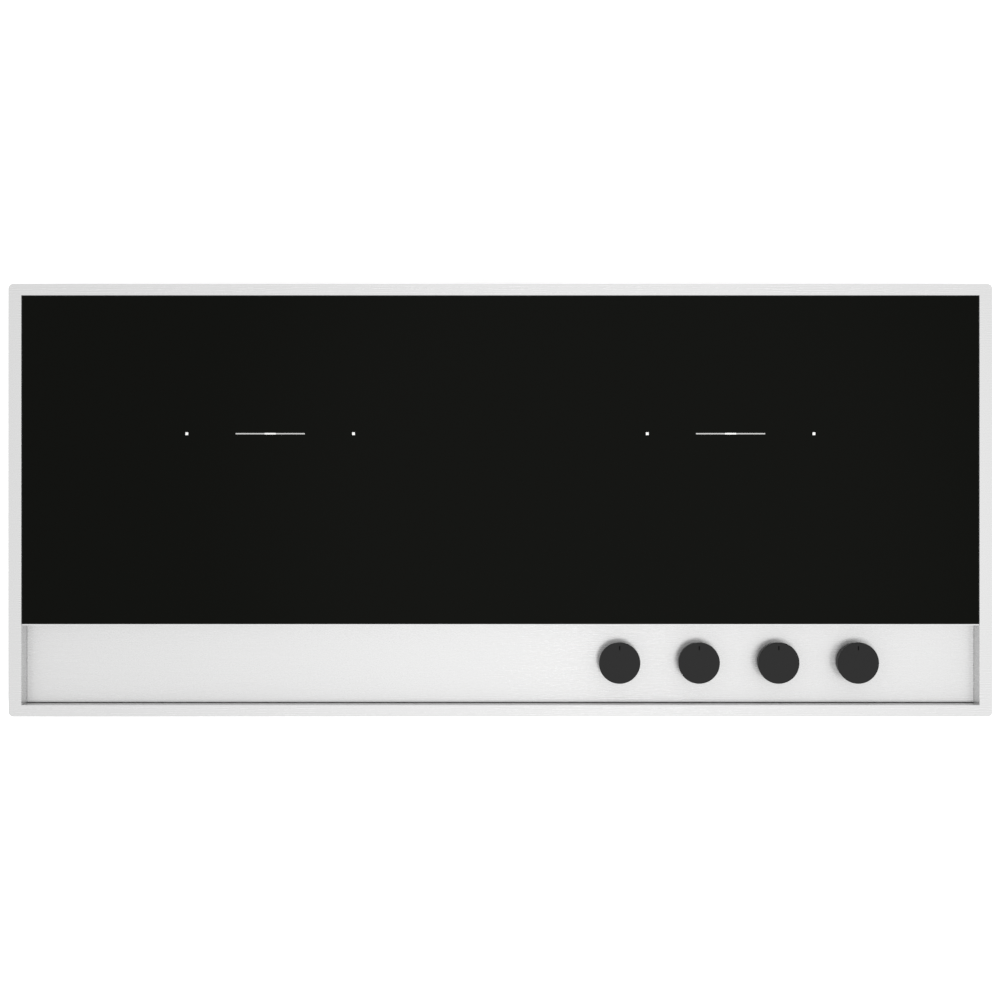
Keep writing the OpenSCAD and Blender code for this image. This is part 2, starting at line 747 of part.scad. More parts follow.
trim_frame();
glass_top();
glass_seal();
glass_ledge();
control_panel();
worktop_seal();
bottom_tray();
coil_decks();
coil_carrier(left, front);  // coil_carrier_left_front
coil_carrier(left, rear);  // coil_carrier_left_rear
coil_carrier(right, front);  // coil_carrier_right_front
coil_carrier(right, rear);  // coil_carrier_right_rear
coil_winding(left, front);  // coil_winding_left_front
coil_winding(left, rear);  // coil_winding_left_rear
coil_winding(right, front);  // coil_winding_right_front
coil_winding(right, rear);  // coil_winding_right_rear
ferrite_bars();
mica_sheets();
coil_springs();
temperature_sensors();
power_board(left);  // power_board_left
power_board(right);  // power_board_right
heatsink(left);  // heatsink_left
heatsink(right);  // heatsink_right
power_transistors();
capacitors();
chokes();
filter_board();
terminal_block();
terminal_cover();
cable_gland();
fan_housing(left);  // fan_housing_left
fan_housing(right);  // fan_housing_right
fan_impeller(left);  // fan_impeller_left
fan_impeller(right);  // fan_impeller_right
air_ducts();
control_board();
encoders();
encoder_nuts();
bush_seals();
knob(0);  // knob_1
knob(1);  // knob_2
knob(2);  // knob_3
knob(3);  // knob_4
spindle(0);  // spindle_1
spindle(1);  // spindle_2
spindle(2);  // spindle_3
spindle(3);  // spindle_4
rotor(0);  // rotor_1
rotor(1);  // rotor_2
rotor(2);  // rotor_3
rotor(3);  // rotor_4
return_spring(0);  // return_spring_1
return_spring(1);  // return_spring_2
return_spring(2);  // return_spring_3
return_spring(3);  // return_spring_4
mounting_clips();
case_screws();
internal_leads();
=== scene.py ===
import json
import math

import bmesh
import bpy
from mathutils import Matrix, Vector


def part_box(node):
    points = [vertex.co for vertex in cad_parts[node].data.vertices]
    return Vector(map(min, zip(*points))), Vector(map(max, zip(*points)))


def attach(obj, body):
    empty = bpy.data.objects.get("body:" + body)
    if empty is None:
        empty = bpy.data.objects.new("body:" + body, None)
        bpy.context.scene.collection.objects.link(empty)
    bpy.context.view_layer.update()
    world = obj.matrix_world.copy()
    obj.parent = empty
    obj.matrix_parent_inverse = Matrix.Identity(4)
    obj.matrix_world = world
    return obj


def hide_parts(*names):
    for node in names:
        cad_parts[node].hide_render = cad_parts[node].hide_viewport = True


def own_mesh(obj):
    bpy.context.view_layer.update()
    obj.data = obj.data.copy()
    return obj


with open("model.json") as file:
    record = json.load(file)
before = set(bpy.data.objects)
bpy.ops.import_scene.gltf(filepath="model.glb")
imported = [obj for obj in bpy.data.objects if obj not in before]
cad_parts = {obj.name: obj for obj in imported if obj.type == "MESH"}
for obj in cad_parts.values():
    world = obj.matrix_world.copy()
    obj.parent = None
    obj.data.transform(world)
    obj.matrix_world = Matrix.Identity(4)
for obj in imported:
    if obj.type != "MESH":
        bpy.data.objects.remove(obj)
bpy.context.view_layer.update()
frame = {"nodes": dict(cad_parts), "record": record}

MM = 0.001
KNOBS = (1, 2, 3, 4)
SIDES = ("left", "right")
ZONES = ("left_front", "left_rear", "right_front", "right_rear")
CAMERA_UP = 1.694  # metres from the frame's top to the camera
FLOOR_DOWN = 2 * MM  # below the tray, so that the two sheets don't lie in one plane


# ---------------------------------------------------------------- measures from the frame

def box(node):
    """The lowest and highest corner of a CAD node's box."""
    low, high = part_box(node)
    return Vector(low), Vector(high)


def middle(node):
    low, high = box(node)
    return (low + high) / 2


def pieces_of(node):
    """The boxes of a CAD node's separate pieces, from left to right."""
    shape = bmesh_of(node)
    waiting = set(shape.verts)
    boxes = []
    while waiting:
        stack, places = [waiting.pop()], []
        while stack:
            vert = stack.pop()
            places.append(vert.co.copy())
            for edge in vert.link_edges:
                other = edge.other_vert(vert)
                if other in waiting:
                    waiting.remove(other)
                    stack.append(other)
        boxes.append((Vector([min(p[i] for p in places) for i in range(3)]),
                      Vector([max(p[i] for p in places) for i in range(3)])))
    shape.free()
    return sorted(boxes, key=lambda corners: tuple(corners[0]))


# ---------------------------------------------------------------- camera, lights and floor

def stage():
    """A camera straight above the cooktop, a white floor under it and soft studio light."""
    scene = bpy.context.scene
    scene.view_settings.view_transform = "Standard"
    frame_top = box("trim_frame")[1].z

    lens = bpy.data.cameras.new("camera")
    lens.lens = 50
    lens.sensor_width = 36
    lens.clip_start = 0.01
    camera = bpy.data.objects.new("camera", lens)
    camera.location = (-0.5 * MM, 0.3 * MM, frame_top + CAMERA_UP)
    scene.collection.objects.link(camera)
    scene.camera = camera

    # The key lamp hangs over the knobs, a little in front, so that their short shadows fall to
    # the rear. Glossy surfaces mirror only the sky, so no round lamp shows in the glass.
    key = bpy.data.lights.new("key", "AREA")
    key.shape = "DISK"
    key.size = 0.35
    key.energy = 13
    lamp = bpy.data.objects.new("key", key)
    lamp.location = (0.25, -0.42, 1.7)
    lamp.visible_glossy = False
    aim = Vector((0.2, -0.1, 0)) - lamp.location
    lamp.rotation_euler = aim.to_track_quat("-Z", "Y").to_euler()
    scene.collection.objects.link(lamp)

    world = bpy.data.worlds.new("studio")
    scene.world = world
    world.use_nodes = True
    tree = world.node_tree
    tree.nodes.clear()
    ray = add(tree, "ShaderNodeTexCoord")
    # Brightest a little to the right of overhead, as under one wide soft box
    toward = add(tree, "ShaderNodeVectorMath", {0: ray.outputs["Generated"], 1: (0.07, 0.0, 0.998)},
                 operation="DOT_PRODUCT")
    glow = add(tree, "ShaderNodeMapRange", {"Value": toward.outputs["Value"], "From Min": 0.955, "From Max": 0.99,
                                            "To Min": 0.68, "To Max": 0.92}, interpolation_type="SMOOTHSTEP")
    # White again down at the horizon, so that the floor has no visible edge
    height = add(tree, "ShaderNodeSeparateXYZ", {"Vector": ray.outputs["Generated"]})
    haze = add(tree, "ShaderNodeMapRange", {"Value": height.outputs["Z"], "From Min": 0.02, "From Max": 0.35,
                                            "To Min": 0.37, "To Max": 0.0}, interpolation_type="SMOOTHSTEP")
    both = add(tree, "ShaderNodeMath", {0: glow.outputs["Result"], 1: haze.outputs["Result"]}, operation="ADD")
    sky = add(tree, "ShaderNodeBackground", {"Color": (1, 1, 1, 1), "Strength": both.outputs["Value"]})
    add(tree, "ShaderNodeOutputWorld", {"Surface": sky.outputs["Background"]})

    sheet = bmesh.new()
    bmesh.ops.create_grid(sheet, x_segments=1, y_segments=1, size=12)
    bmesh.ops.translate(sheet, vec=(0, 0, -FLOOR_DOWN), verts=sheet.verts)
    floor = as_object("floor", sheet)
    paper, tree, shader = finish_of("white_floor", "F2F2F2", 0.9, Emission_Strength=0.55)
    shader.inputs["Emission Color"].default_value = linear("FFFFFF")
    # Clear from below, so that the tray's underside can be looked at through it
    side = add(tree, "ShaderNodeNewGeometry")
    clear = add(tree, "ShaderNodeBsdfTransparent")
    choice = add(tree, "ShaderNodeMixShader", {0: side.outputs["Backfacing"], 1: shader.outputs["BSDF"],
                                               2: clear.outputs["BSDF"]})
    tree.links.new(choice.outputs["Shader"], tree.nodes["Material Output"].inputs["Surface"])
    floor.data.materials.append(paper)


# ---------------------------------------------------------------- materials: small tools

def linear(code):
    """An sRGB hex colour as linear RGBA."""
    channels = [int(code[i:i + 2], 16) / 255 for i in (0, 2, 4)]
    return tuple(c / 12.92 if c <= 0.04045 else ((c + 0.055) / 1.055) ** 2.4 for c in channels) + (1.0,)


def add(tree, kind, inputs=None, **settings):
    """A node with its settings. An input takes a value, or another node's output to link."""
    node = tree.nodes.new(kind)
    for name, value in settings.items():
        setattr(node, name, value)
    for key, value in (inputs or {}).items():
        socket = node.inputs[key]
        if isinstance(value, bpy.types.NodeSocket):
            tree.links.new(value, socket)
        else:
            socket.default_value = value
    return node


def finish_of(name, colour, roughness, **sockets):
    """A material with its shader's constant sockets set, and its node tree and shader."""
    material = bpy.data.materials.new(name)
    material.use_nodes = True
    tree = material.node_tree
    shader = tree.nodes["Principled BSDF"]
    shader.inputs["Base Color"].default_value = linear(colour)
    shader.inputs["Roughness"].default_value = roughness
    for key, value in sockets.items():
        shader.inputs[key.replace("_", " ")].default_value = value
    return material, tree, shader


def grain(tree, size, detail=3.0, roughness=0.55):
    """Noise on the piece's own coordinates, with a feature size in metres along X, Y and Z."""
    place = add(tree, "ShaderNodeTexCoord")
    scaled = add(tree, "ShaderNodeMapping", {"Vector": place.outputs["Object"],
                                             "Scale": tuple(1 / s for s in size)})
    return add(tree, "ShaderNodeTexNoise", {"Vector": scaled.outputs["Vector"], "Scale": 1.0,
                                            "Detail": detail, "Roughness": roughness}).outputs["Fac"]


def vary(tree, shader, factor, dark, light):
    """The factor blends the shader's colour between two shades."""
    blend = add(tree, "ShaderNodeMix", {0: factor, 6: linear(dark), 7: linear(light)}, data_type="RGBA")
    tree.links.new(blend.outputs[2], shader.inputs["Base Color"])


def spread(tree, shader, factor, low, high):
    """The factor moves the roughness between low and high."""
    span = add(tree, "ShaderNodeMapRange", {"Value": factor, "From Min": 0.3, "From Max": 0.7,
                                            "To Min": low, "To Max": high})
    tree.links.new(span.outputs["Result"], shader.inputs["Roughness"])


def emboss(tree, shader, height, depth, strength=1.0):
    """Height as a bump, depth in metres."""
    bump = add(tree, "ShaderNodeBump", {"Height": height, "Distance": depth, "Strength": strength})
    tree.links.new(bump.outputs["Normal"], shader.inputs["Normal"])


# ---------------------------------------------------------------- materials

def brushed_stainless(name, dark, light, roughness):
    """Stainless sheet, belt-brushed along the width: pale grey, fine streaks and a satin shine,
    as the brushing scatters part of the light. The real lines are 0.1 mm wide; these are 0.9 mm,
    so that they show from above."""
    material, tree, shader = finish_of(name, light, roughness, Metallic=0.45)
    streaks = grain(tree, (60 * MM, 0.9 * MM, 0.9 * MM), detail=5.0, roughness=0.7)
    vary(tree, shader, streaks, dark, light)
    spread(tree, shader, streaks, roughness - 0.02, roughness + 0.03)
    emboss(tree, shader, streaks, 0.02 * MM, 0.05)
    return material


def stainless_with_painted_wall_shade(name, dark, light, roughness, crown):
    """Brushed sheet whose walls below the height crown are painted a darker grey: painted shade, as the
    upright walls take less light than the flat top."""
    material = brushed_stainless(name, dark, light, roughness)
    tree = material.node_tree
    colour = tree.nodes["Principled BSDF"].inputs["Base Color"]
    place = add(tree, "ShaderNodeTexCoord")
    height = add(tree, "ShaderNodeSeparateXYZ", {"Vector": place.outputs["Object"]})
    # Painted shade: below the crown the walls take the darker grey CACACA, above it the top keeps its brushed
    # grey
    rise = add(tree, "ShaderNodeMapRange", {"Value": height.outputs["Z"], "From Min": crown - 0.4 * MM,
                                            "From Max": crown})
    blend = add(tree, "ShaderNodeMix", {0: rise.outputs["Result"], 6: linear("CACACA"),
                                        7: colour.links[0].from_socket}, data_type="RGBA")
    tree.links.new(blend.outputs[2], colour)
    return material


def black_glass():
    """Glass-ceramic, rolled and polished, black right through: an even black with a hard shine."""
    material, tree, shader = finish_of("glass_ceramic", "0A0B08", 0.06, IOR=1.52, Specular_IOR_Level=0.06)
    waves = grain(tree, (90 * MM, 90 * MM, 90 * MM), detail=1.0)
    spread(tree, shader, waves, 0.05, 0.08)
    return material


def printed_mark(name, shade):
    """Ceramic ink fired onto the glass: matt, slightly grainy pale grey."""
    material, tree, shader = finish_of(name, shade, 0.55)
    emboss(tree, shader, grain(tree, (0.15 * MM, 0.15 * MM, 0.15 * MM), detail=2.0), 0.01 * MM)
    return material


def lacquer(name, dark, light, roughness):
    """Matt black lacquer on a die-cast knob: a very fine skin that gives a soft sheen."""
    material, tree, shader = finish_of(name, light, roughness, Specular_IOR_Level=0.06)
    skin = grain(tree, (0.5 * MM, 0.5 * MM, 0.5 * MM))
    vary(tree, shader, skin, dark, light)
    spread(tree, shader, skin, roughness - 0.04, roughness + 0.06)
    emboss(tree, shader, skin, 0.02 * MM, 0.6)
    return material


def galvanised_sheet():
    """Hot-dip galvanised steel: grey zinc crystals some 7 mm across, each with its own sheen."""
    material, tree, shader = finish_of("galvanised_sheet", "A9ABAC", 0.4, Metallic=1.0)
    place = add(tree, "ShaderNodeTexCoord")
    bend = add(tree, "ShaderNodeTexNoise", {"Vector": place.outputs["Object"], "Scale": 1 / (20 * MM),
                                            "Detail": 2.0})
    shift = add(tree, "ShaderNodeVectorMath", {0: bend.outputs["Color"], "Scale": 5 * MM}, operation="SCALE")
    moved = add(tree, "ShaderNodeVectorMath", {0: place.outputs["Object"], 1: shift.outputs["Vector"]})
    crystals = add(tree, "ShaderNodeTexVoronoi", {"Vector": moved.outputs["Vector"], "Scale": 1 / (7 * MM)})
    tone = add(tree, "ShaderNodeSeparateColor", {"Color": crystals.outputs["Color"]})
    vary(tree, shader, tone.outputs["Red"], "9FA1A3", "B8BABB")
    spread(tree, shader, tone.outputs["Green"], 0.36, 0.46)
    return material


def lined_metal(name, dark, light, roughness, size):
    """Rolled or pressed aluminium: faint lines along the way it was drawn, soft grey shine."""
    material, tree, shader = finish_of(name, light, roughness, Metallic=1.0)
    lines = grain(tree, size, detail=4.0)
    vary(tree, shader, lines, dark, light)
    spread(tree, shader, lines, roughness - 0.05, roughness + 0.07)
    emboss(tree, shader, lines, 0.02 * MM, 0.5)
    return material


def bright_metal(name, shade, roughness):
    """Zinc-plated or drawn metal, small parts: an even, slightly clouded shine."""
    material, tree, shader = finish_of(name, shade, roughness, Metallic=1.0)
    spread(tree, shader, grain(tree, (3 * MM, 3 * MM, 3 * MM)), roughness - 0.05, roughness + 0.08)
    return material


def moulded(name, dark, light, roughness, spark=0.8):
    """Injection-moulded plastic from a spark-eroded tool: small even grain, dull shine."""
    material, tree, shader = finish_of(name, light, roughness)
    texture = grain(tree, (spark * MM, spark * MM, spark * MM), detail=2.0)
    vary(tree, shader, texture, dark, light)
    emboss(tree, shader, texture, 0.03 * MM, 0.6)
    return material


def soft_rubber(name, dark, light, cell):
    """Silicone or foam rubber: matt, with a fine open grain and a soft sheen at the edges."""
    material, tree, shader = finish_of(name, light, 0.8, Sheen_Weight=0.2)
    cells = grain(tree, (cell * MM, cell * MM, cell * MM))
    vary(tree, shader, cells, dark, light)
    emboss(tree, shader, cells, cell * 0.1 * MM)
    return material


def litz_wire():
    """Bundles of varnished copper strands: warm orange brown with a silky shine."""
    material, tree, shader = finish_of("litz_wire", "B06A3B", 0.35, Metallic=1.0)
    strands = grain(tree, (0.4 * MM, 0.4 * MM, 0.4 * MM))
    vary(tree, shader, strands, "8F4F28", "C67C48")
    emboss(tree, shader, strands, 0.05 * MM)
    return material


def pressed_mica():
    """Mica flakes pressed into sheet: silvery beige flakes, slightly pearly."""
    material, tree, shader = finish_of("pressed_mica", "C4B08C", 0.45)
    place = add(tree, "ShaderNodeTexCoord")
    flakes = add(tree, "ShaderNodeTexVoronoi", {"Vector": place.outputs["Object"], "Scale": 1 / (4 * MM)})
    tone = add(tree, "ShaderNodeSeparateColor", {"Color": flakes.outputs["Color"]})
    vary(tree, shader, tone.outputs["Red"], "B09B76", "D8C7A6")
    return material


def solder_mask():
    """Epoxy-glass board under green solder mask: even green with the weave just showing."""
    material, tree, shader = finish_of("solder_mask", "1F5A36", 0.35, Coat_Weight=0.3)
    weave = grain(tree, (0.7 * MM, 0.7 * MM, 0.7 * MM), detail=1.0)
    vary(tree, shader, weave, "184A2C", "26693F")
    return material


def build_finishes():
    """One material for each of the record's slots."""
    return {
        # The frame's upright walls carry painted shade below its top
        "stainless_frame": stainless_with_painted_wall_shade("brushed_frame", "E9E9E9", "EEEEEE", 0.26,
                                            box("trim_frame")[1].z - 0.8 * MM),
        # Painted light: the strip's steel is a paler copy of the frame's (EDEDED-F2F2F2 against E9E9E9-EEEEEE),
        # making up for the shade in its recess
        "stainless_strip": brushed_stainless("brushed_strip_painted_light", "EDEDED", "F2F2F2", 0.26),
        "black_glass": black_glass(),
        "silicone": soft_rubber("silicone", "0B0B0B", "141414", 0.6),
        "foam_tape": soft_rubber("foam_tape", "2C2C2E", "3E3E40", 0.9),
        "galvanised_steel": galvanised_sheet(),
        "aluminium_sheet": lined_metal("mill_aluminium", "BEC0C2", "D3D5D6", 0.38, (0.6 * MM, 80 * MM, 0.6 * MM)),
        "aluminium_sink": lined_metal("pressed_aluminium", "A9ABAD", "C4C6C8", 0.42,
                                      (120 * MM, 0.5 * MM, 0.5 * MM)),
        "carrier_plastic": moulded("carrier_plastic", "C9C1AD", "DAD3C1", 0.6),
        "copper_litz": litz_wire(),
        "ferrite": moulded("ferrite", "2A2A2C", "38383A", 0.55, spark=0.4),
        "mica": pressed_mica(),
        "spring_steel": bright_metal("spring_steel", "B4B5B8", 0.28),
        "white_plastic": moulded("white_plastic", "D4D4D0", "E2E2DE", 0.5),
        "circuit_board": solder_mask(),
        "black_plastic": moulded("black_plastic", "1B1B1D", "262628", 0.5),
        "capacitor_case": moulded("capacitor_case", "2E4C8E", "3A5CA6", 0.35, spark=0.5),
        "choke_core": moulded("choke_core", "9B7B2E", "B08D3B", 0.5, spark=0.5),
        "plated_steel": bright_metal("plated_steel", "BDBEC0", 0.3),
        "knob_black": lacquer("knob_lacquer", "292929", "2F2F2F", 0.5),
        "lead_sleeve": soft_rubber("lead_sleeve", "7E1A16", "98241E", 0.5),
    }


def paint_cad(finishes):
    """Every CAD node takes its slot's finish."""
    for part in frame["record"]["subparts"]:
        mesh = frame["nodes"][part["node"]].data
        mesh.materials.clear()
        mesh.materials.append(finishes[part["material_slot"]])


# ---------------------------------------------------------------- pieces: small tools

def bmesh_of(node):
    """A CAD node's shape, with its flat faces whole again."""
    source = frame["nodes"][node]
    shape = bmesh.new()
    shape.from_mesh(source.data)
    bmesh.ops.transform(shape, matrix=source.matrix_world, verts=shape.verts)
    bmesh.ops.remove_doubles(shape, verts=shape.verts, dist=2e-6)
    bmesh.ops.dissolve_limit(shape, angle_limit=math.radians(0.5), verts=shape.verts, edges=shape.edges)
    return shape


def as_object(name, shape, material=None, angle=30):
    """A bmesh as an object at the origin, smooth except at edges sharper than the angle."""
    mesh = bpy.data.meshes.new(name)
    shape.to_mesh(mesh)
    shape.free()
    mesh.shade_smooth()
    mesh.set_sharp_from_angle(angle=math.radians(angle))
    piece = bpy.data.objects.new(name, mesh)
    bpy.context.scene.collection.objects.link(piece)
    if material:
        mesh.materials.append(material)
    weigh(piece)
    return piece


def weigh(piece):
    """Shading follows the large faces, so that flat sheet stays flat up to its rounded edges."""
    normals = piece.modifiers.new("flat_faces", "WEIGHTED_NORMAL")
    normals.mode = "FACE_AREA"
    normals.weight = 100
    normals.keep_sharp = True


def round_off(shape, width, segments=2, angle=35):
    """Rounds every edge where two faces meet at more than the angle."""
    limit = math.radians(angle)
    edges = [e for e in shape.edges if len(e.link_faces) == 2 and e.calc_face_angle(0) > limit]
    bmesh.ops.bevel(shape, geom=edges, offset=width, segments=segments, profile=0.5,
                    affect="EDGES", material=-1, clamp_overlap=True)


def stand_for(piece, node):
    """The piece rides on the node's body and is shown in the node's place."""
    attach(piece, body_of(node))
    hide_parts(node)
    slot_of(node)


def slot_of(node):
    return next(part["material_slot"] for part in frame["record"]["subparts"] if part["node"] == node)


def body_of(node):
    bodies = frame["record"]["behaviour"]["bodies"]
    return next(body for body in bodies if node in bodies[body])


def softened(node, material, width, segments=2):
    """A CAD node with its edges rounded, shown in the node's place. Thin sheet keeps every face
    flat up to its edge; thicker pieces are shaded as one smooth round."""
    shape = bmesh_of(node)
    round_off(shape, width, segments)
    piece = as_object(f"{node}_rounded", shape, material, angle=12 if width <= 0.3 * MM else 30)
    stand_for(piece, node)
    return piece


def block(shape, low, high):
    """Adds a box between two corners."""
    low, high = Vector(low), Vector(high)
    place = Matrix.Translation((low + high) / 2) @ Matrix.Diagonal((*(high - low), 1))
    bmesh.ops.create_cube(shape, size=1, matrix=place)


def disc(shape, centre, radius, low, high, segments=32):
    """Adds an upright round plate."""
    place = Matrix.Translation((centre[0], centre[1], (low + high) / 2))
    bmesh.ops.create_cone(shape, cap_ends=True, segments=segments, radius1=radius, radius2=radius,
                          depth=high - low, matrix=place)


def turned(outline, steps=48):
    """A shape turned round the Z axis from an outline of radius and height."""
    shape = bmesh.new()
    ring = [shape.verts.new((r, 0, z)) for r, z in outline]
    edges = [shape.edges.new(pair) for pair in zip(ring, ring[1:])]
    bmesh.ops.spin(shape, geom=ring + edges, cent=(0, 0, 0), axis=(0, 0, 1), dvec=(0, 0, 0),
                   angle=math.tau, steps=steps, use_merge=True)
    bmesh.ops.remove_doubles(shape, verts=shape.verts, dist=1e-6)
    bmesh.ops.recalc_face_normals(shape, faces=shape.faces)
    return shape


def carved(piece, cutter):
    """The piece with the cutter's shape taken out of it."""
    tool = as_object(f"{piece.name}_tool", cutter)
    cut = piece.modifiers.new("cut", "BOOLEAN")
    cut.operation = "DIFFERENCE"
    cut.solver = "EXACT"
    cut.object = tool
    bpy.context.view_layer.update()
    graph = bpy.context.evaluated_depsgraph_get()
    piece.data = bpy.data.meshes.new_from_object(piece.evaluated_get(graph))
    piece.modifiers.clear()
    bpy.data.objects.remove(tool)
    piece.data.set_sharp_from_angle(angle=math.radians(30))
    weigh(piece)
    return piece


def wires(name, paths, radius, material, sides=8):
    """Round wires along paths of points, as one mesh."""
    curve = bpy.data.curves.new(name, "CURVE")
    curve.dimensions = "3D"
    curve.bevel_depth = radius
    curve.bevel_resolution = sides // 2 - 2
    curve.use_fill_caps = True
    for path in paths:
        points = list(path)
        line = curve.splines.new("POLY")
        line.points.add(len(points) - 1)
        for point, place in zip(line.points, points):
            point.co = (*place, 1)
    draft = bpy.data.objects.new(f"{name}_path", curve)
    bpy.context.scene.collection.objects.link(draft)
    bpy.context.view_layer.update()
    mesh = bpy.data.meshes.new_from_object(draft.evaluated_get(bpy.context.evaluated_depsgraph_get()))
    bpy.data.objects.remove(draft)
    piece = bpy.data.objects.new(name, mesh)
    bpy.context.scene.collection.objects.link(piece)
    mesh.materials.clear()
    mesh.materials.append(material)
    mesh.shade_smooth()
    return piece


def spiral(centre, inner, outer, turns, height):
    """Points along a flat spiral."""
    steps = turns * 40
    for k in range(steps + 1):
        radius = inner + (outer - inner) * k / steps
        angle = math.tau * turns * k / steps
        yield (centre.x + radius * math.cos(angle), centre.y + radius * math.sin(angle), height)


def helix(centre, low, high, radius, turns):
    """Points along an upright coil spring whose first and last turns lie flat."""
    steps = turns * 20
    for k in range(steps + 1):
        turn = turns * k / steps
        rise = min(max((turn - 1) / (turns - 2), 0), 1)
        angle = math.tau * turn
        yield (centre.x + radius * math.cos(angle), centre.y + radius * math.sin(angle),
               low + (high - low) * rise)


# ---------------------------------------------------------------- pieces: knobs and marks

def build_knob(number, material, ink):
    """A knob turned from its profile, with the index line sunk into its top; a near-black fill in the groove's
    floor is painted shade.
    """
    low, high = box(f"knob_{number}")
    axis = (low + high) / 2
    top = (high.x - low.x) / 2
    foot, chamfer, wall = top - 2.25 * MM, 0.8 * MM, 2.6 * MM
    roof = high.z - 3.5 * MM
    hub, bore, hub_foot = 6.5 * MM, 3.05 * MM, low.z + 4.6 * MM
    shape = turned([
        (0, high.z), (top - chamfer, high.z), (top, high.z - chamfer), (foot, low.z), (foot - wall, low.z),
        (top - wall, roof), (hub, roof), (hub, hub_foot), (bore, hub_foot), (bore, roof), (0, roof),
    ], steps=128)
    round_off(shape, 0.18 * MM, angle=25)
    bmesh.ops.translate(shape, vec=(axis.x, axis.y, 0), verts=shape.verts)
    knob = as_object(f"knob_{number}_turned", shape, material)

    wide, long, deep = 1.5 * MM, 5.1 * MM, 0.5 * MM
    centre = Vector((axis.x, axis.y + top - 4.4 * MM - long / 2, high.z))
    groove = bmesh.new()
    block(groove, centre - Vector((wide / 2, long / 2, deep)), centre + Vector((wide / 2, long / 2, deep)))
    upright = [e for e in groove.edges if abs(e.verts[0].co.z - e.verts[1].co.z) > deep]
    bmesh.ops.bevel(groove, geom=upright, offset=0.35 * MM, segments=3, profile=0.5, affect="EDGES", material=-1)
    stand_for(carved(knob, groove), f"knob_{number}")

    # Painted shade: a near-black box in the groove's floor stands in for the shade inside the sunk index line
    edge = 0.12 * MM
    line = bmesh.new()
    block(line, centre - Vector((wide / 2 - edge, long / 2 - edge, deep)),
          centre + Vector((wide / 2 - edge, long / 2 - edge, 0.06 * MM - deep)))
    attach(as_object(f"knob_{number}_index", line, ink), body_of(f"knob_{number}"))


def build_marks(finishes):
    """The zone marks printed on the glass: a line with a brighter dash, and a square dot each side."""
    grey = printed_mark("mark_grey", "C6C6C4")
    white = printed_mark("mark_white", "FBFBF9")
    glass_high = box("glass_top")[1]
    ink = 0.05 * MM
    line, dash, dot = (84.4 * MM, 1.5 * MM), (13.6 * MM, 1.9 * MM), (3.4 * MM, 3.4 * MM)
    reach = 101.7 * MM
    row = glass_high.y - 168 * MM
    for side in SIDES:
        x = middle(f"coil_winding_{side}_front").x
        marks = [("line", grey, x, line, 0), ("dash", white, x, dash, ink / 2),
                 ("dot_outer", white, x - reach, dot, 0), ("dot_inner", white, x + reach, dot, 0)]
        for name, material, at, (length, width), lift in marks:
            shape = bmesh.new()
            foot = glass_high.z + lift
            block(shape, (at - length / 2, row - width / 2, foot), (at + length / 2, row + width / 2, foot + ink))
            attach(as_object(f"zone_{name}_{side}", shape, material), "case")


# ---------------------------------------------------------------- pieces: fasteners and springs

def screw_shape(name, head, rise, shank, length, material):
    """A pan-head screw with a cross recess, its head's seat on the origin and its tip downwards."""
    outline = [(0, rise), (0.5 * head, rise), (0.85 * head, 0.75 * rise), (head, 0.35 * rise), (head, 0)]
    pitch = 0.8 * MM
    threads = int(length / pitch)
    for k in range(threads):
        outline += [(shank * 0.82, -k * pitch), (shank, -(k + 0.5) * pitch)]
    outline += [(shank * 0.82, -threads * pitch), (shank * 0.5, -length), (0, -length)]
    screw = as_object(name, turned(outline, steps=24), material)
    cross = bmesh.new()
    arm, width, deep = 0.6 * head, 0.17 * head, 0.6 * rise
    block(cross, (-arm, -width, rise - deep), (arm, width, rise + deep))
    screw = carved(screw, cross)
    other = bmesh.new()
    block(other, (-width, -arm, rise - deep), (width, arm, rise + deep))
    return carved(screw, other)


def build_screws(material):
    """Every case and board screw, each where the CAD has it."""
    rise = 1.8 * MM
    wall = screw_shape("wall_screw", 3.8 * MM, rise, 2.0 * MM, 3.2 * MM, material)
    board = screw_shape("board_screw", 3.2 * MM, rise, 1.5 * MM, 6.6 * MM, material)
    gathered = bmesh.new()
    for low, high in pieces_of("case_screws"):
        size, centre = high - low, (low + high) / 2
        if size.z > max(size.x, size.y):
            model, outward, tip = board, Vector((0, 0, 1)), high.z
        else:
            across = 0 if size.x < size.y else 1
            outward = Vector((0, 0, 0))
            outward[across] = math.copysign(1, centre[across])
            model, tip = wall, abs(high[across] if centre[across] > 0 else low[across])
        seat = centre - outward * centre.dot(outward) + outward * (tip - rise)
        turn = Vector((0, 0, 1)).rotation_difference(outward).to_matrix().to_4x4()
        count = len(gathered.verts)
        gathered.from_mesh(model.data)
        gathered.verts.ensure_lookup_table()
        bmesh.ops.transform(gathered, matrix=Matrix.Translation(seat) @ turn, verts=gathered.verts[count:])
    for model in (wall, board):
        bpy.data.objects.remove(model)
    stand_for(as_object("case_screws_cut", gathered, material), "case_screws")


def build_springs(material):
    """The springs under the coils, and one under each knob."""
    thick = 0.5 * MM
    paths = []
    for low, high in pieces_of("coil_springs"):
        radius = (high.x - low.x) / 2 - thick
        paths.append(helix((low + high) / 2, low.z + thick, high.z - thick, radius, 7))
    stand_for(wires("coil_springs_wound", paths, thick, material), "coil_springs")
    for number in KNOBS:
        node = f"return_spring_{number}"
        low, high = box(node)
        centre = (low + high) / 2
        radius = (high.x - low.x) / 2 - thick
        path = helix(centre, low.z + thick, high.z - thick, radius, 5)
        spring = wires(f"{node}_wound", [path], thick, material)
        stand_for(spring, node)
        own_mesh(spring)


# ---------------------------------------------------------------- pieces: coils and electronics

